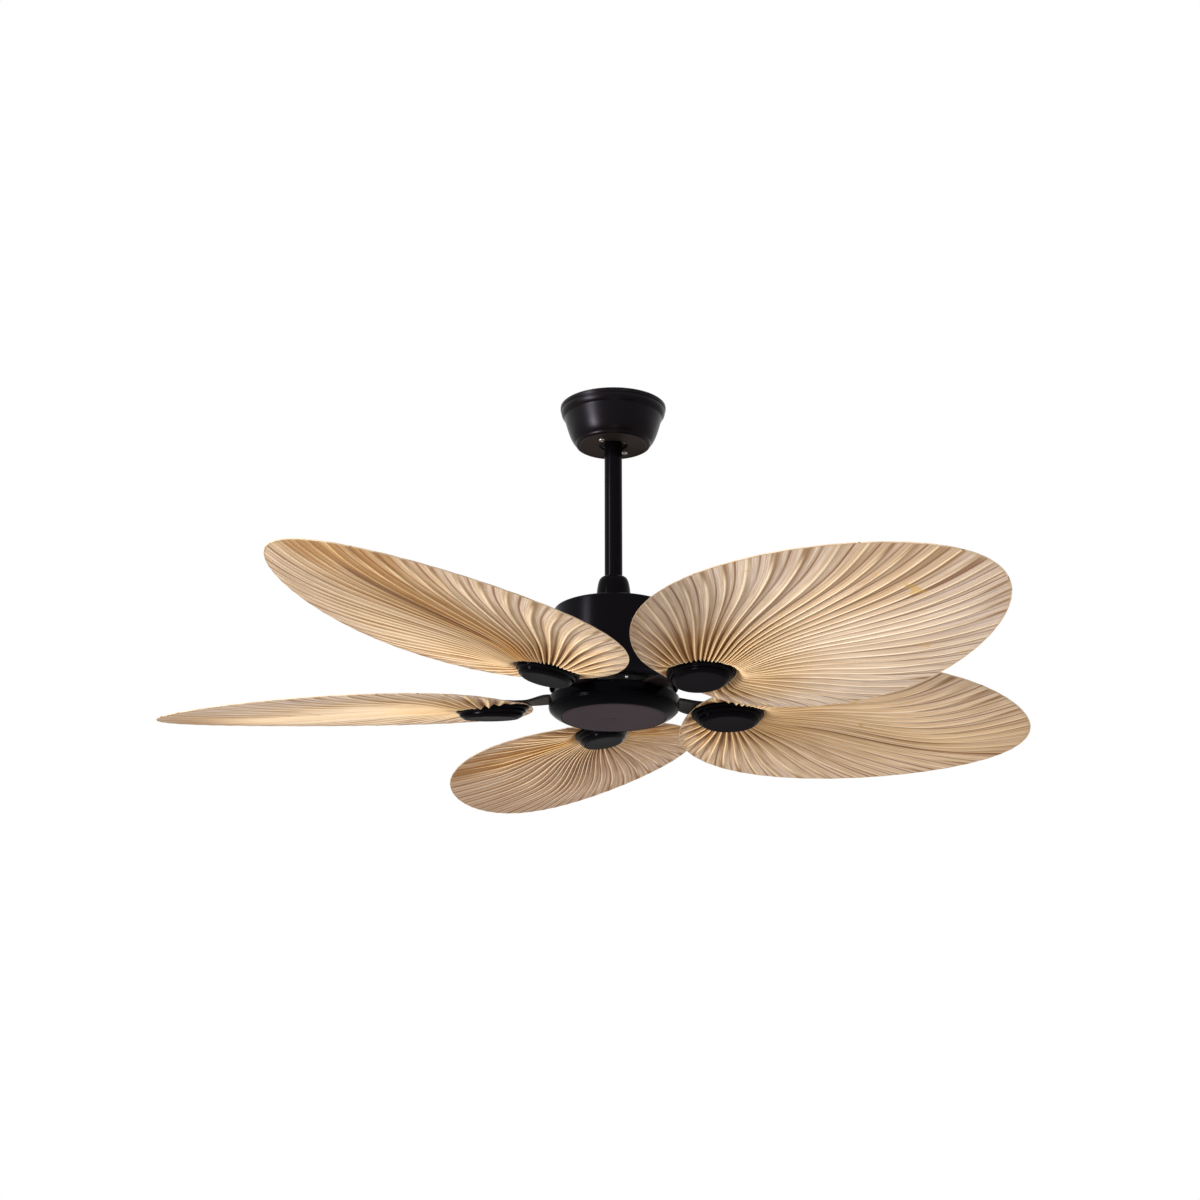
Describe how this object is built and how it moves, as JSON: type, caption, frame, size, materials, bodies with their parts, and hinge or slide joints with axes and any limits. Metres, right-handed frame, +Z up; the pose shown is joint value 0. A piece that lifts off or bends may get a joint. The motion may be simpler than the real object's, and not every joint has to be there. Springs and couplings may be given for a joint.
{
  "type": "ceiling fan",
  "caption": "Ceiling fan on a ball-hung downrod, with pleated natural palm-leaf blades on flat black arms below a drum motor housing.",
  "frame": {"origin": "centre of the hanger bracket's ceiling face", "axes": "+Z up, normal to the ceiling; the fan hangs along -Z; -Y is the side the picture was taken from, +X to its right"},
  "size_m": [1.215, 1.2691, 0.4475],
  "materials": {
    "black_metal": "satin",
    "satin_cap": "satin",
    "palm_leaf": "matt dried palm leaf",
    "zinc_steel": "zinc plated",
    "cast_aluminium": "cast",
    "copper_wire": "enamelled copper wire",
    "black_plastic": "matt"
  },
  "bodies": {
    "ceiling_mount": {"hanger_bracket": "zinc_steel", "canopy": "black_metal", "canopy_screw_1": "zinc_steel", "canopy_screw_2": "zinc_steel"},
    "hanging_frame": {"hanger_ball": "black_plastic", "ball_pin": "zinc_steel", "downrod": "black_metal", "coupling_cover": "black_metal", "motor_yoke": "cast_aluminium", "yoke_pin": "zinc_steel", "motor_shaft": "zinc_steel", "stator_core": "zinc_steel", "winding_upper": "copper_wire", "winding_lower": "copper_wire", "motor_housing": "black_metal", "housing_screw_1": "zinc_steel", "housing_screw_2": "zinc_steel", "housing_screw_3": "zinc_steel", "support_plate": "zinc_steel", "shaft_nut": "zinc_steel", "switch_housing": "black_metal", "cap_plate": "satin_cap", "run_capacitor": "black_plastic"},
    "rotor": {"bearing_upper": "zinc_steel", "bearing_lower": "zinc_steel", "rotor_shell_upper": "cast_aluminium", "rotor_shell_lower": "cast_aluminium", "rotor_ring": "zinc_steel", "flywheel": "cast_aluminium", "blade_iron_1": "black_metal", "blade_iron_2": "black_metal", "blade_iron_3": "black_metal", "blade_iron_4": "black_metal", "blade_iron_5": "black_metal", "iron_screw_1": "zinc_steel", "iron_screw_2": "zinc_steel", "iron_screw_3": "zinc_steel", "iron_screw_4": "zinc_steel", "iron_screw_5": "zinc_steel", "palm_leaf_1": "palm_leaf", "palm_leaf_2": "palm_leaf", "palm_leaf_3": "palm_leaf", "palm_leaf_4": "palm_leaf", "palm_leaf_5": "palm_leaf", "leaf_cover_1": "black_metal", "leaf_cover_2": "black_metal", "leaf_cover_3": "black_metal", "leaf_cover_4": "black_metal", "leaf_cover_5": "black_metal", "leaf_screw_1a": "zinc_steel", "leaf_screw_1b": "zinc_steel", "leaf_screw_2a": "zinc_steel", "leaf_screw_2b": "zinc_steel", "leaf_screw_3a": "zinc_steel", "leaf_screw_3b": "zinc_steel", "leaf_screw_4a": "zinc_steel", "leaf_screw_4b": "zinc_steel", "leaf_screw_5a": "zinc_steel", "leaf_screw_5b": "zinc_steel"}
  },
  "joints": [
    {"name": "ball_tilt", "type": "hinge", "parent": "ceiling_mount", "child": "hanging_frame", "pos_m": [0, 0, -0.033], "axis": [1, 0, 0], "range_deg": [-12, 12]},
    {"name": "rotor_spin", "type": "hinge", "parent": "hanging_frame", "child": "rotor", "pos_m": [0, 0, -0.421], "axis": [0, 0, 1], "continuous": true}
  ]
}
